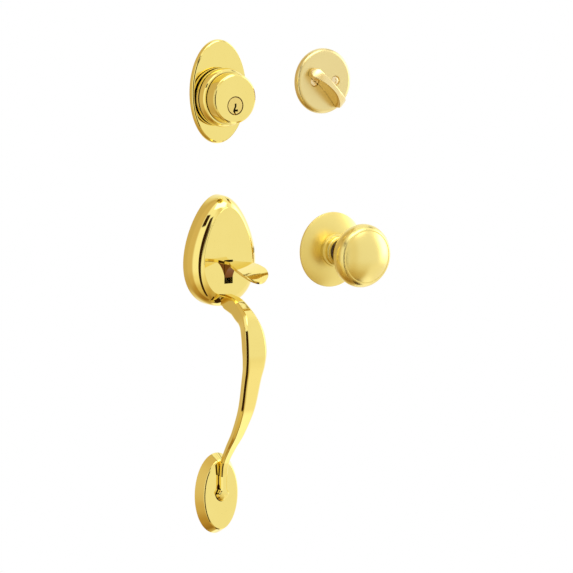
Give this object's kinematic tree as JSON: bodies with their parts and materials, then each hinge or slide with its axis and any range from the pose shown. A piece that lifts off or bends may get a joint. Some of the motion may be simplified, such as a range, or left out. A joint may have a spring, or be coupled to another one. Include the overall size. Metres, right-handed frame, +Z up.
{
  "type": "entry door handleset",
  "caption": "Brass entry door set: keyed deadbolt, thumb-latch grip handle on an egg-shaped escutcheon, oval foot rose, thumbturn and round interior knob.",
  "frame": {"origin": "centre of the egg-shaped escutcheon's back rim on the door face, on the latch spindle's axis", "axes": "+Z up the door, +Y from the room into the door, +X to the right as seen from the room"},
  "size_m": [0.1861, 0.1314, 0.4303],
  "materials": {
    "polished_brass": "mirror polished and lacquered",
    "lock_brass": "machined",
    "plated_steel": "zinc plated",
    "spring_steel": "oiled spring steel",
    "nylon": "moulded"
  },
  "bodies": {
    "trim": {"deadbolt_plate": "polished_brass", "cylinder_housing": "polished_brass", "cylinder_body": "lock_brass", "core_clip": "spring_steel", "driver_pins": "lock_brass", "pin_springs": "spring_steel", "pin_cover": "lock_brass", "turn_rose": "polished_brass", "turn_plate": "plated_steel", "turn_washer": "plated_steel", "rose_screws": "polished_brass", "turn_bolts": "plated_steel", "escutcheon": "polished_brass", "chassis_plate": "plated_steel", "chassis_screws": "plated_steel", "thumb_pin": "plated_steel", "thumb_spring": "spring_steel", "hub_spring": "spring_steel", "grip": "polished_brass", "grip_screw": "plated_steel", "lower_rose": "polished_brass", "knob_rosette": "polished_brass", "knob_plate": "plated_steel", "spring_cage": "plated_steel", "return_spring": "spring_steel", "knob_bushing": "nylon", "knob_bolts": "plated_steel"},
    "key_plug": {"cylinder_plug": "polished_brass", "key_pins": "lock_brass", "plug_cap": "lock_brass", "tailpiece": "plated_steel"},
    "turn": {"thumbturn": "polished_brass", "turn_clip": "spring_steel", "turn_driver": "plated_steel", "turn_pin": "plated_steel"},
    "thumb": {"thumbpiece": "polished_brass"},
    "latch_drive": {"spindle_hub": "plated_steel", "latch_spindle": "plated_steel"},
    "knob_unit": {"knob": "polished_brass", "knob_sleeve": "plated_steel", "knob_catch": "spring_steel", "knob_driver": "plated_steel", "sleeve_ring": "spring_steel"}
  },
  "joints": [
    {"name": "key_turn", "type": "hinge", "parent": "trim", "child": "key_plug", "pos_m": [0, 0, 0.126], "axis": [0, 1, 0], "range_deg": [-90, 90]},
    {"name": "turn_turn", "type": "hinge", "parent": "trim", "child": "turn", "pos_m": [0.1073, 0, 0.136], "axis": [0, 1, 0], "range_deg": [-45, 45]},
    {"name": "thumb_press", "type": "hinge", "parent": "trim", "child": "thumb", "pos_m": [0, -0.014, -0.01], "axis": [1, 0, 0], "range_deg": [0, 20], "stiffness_Nm_per_rad": 0.05, "springref_deg": -57.3},
    {"name": "spindle_turn", "type": "hinge", "parent": "trim", "child": "latch_drive", "pos_m": [0, 0, 0], "axis": [0, 1, 0], "range_deg": [0, 26]},
    {"name": "knob_turn", "type": "hinge", "parent": "trim", "child": "knob_unit", "pos_m": [0.119, 0, -0.0077], "axis": [0, 1, 0], "range_deg": [-45, 45], "stiffness_Nm_per_rad": 0.25}
  ],
  "couplings": [
    {"joint": "spindle_turn", "follows": "thumb_press", "ratio": 1.3}
  ]
}
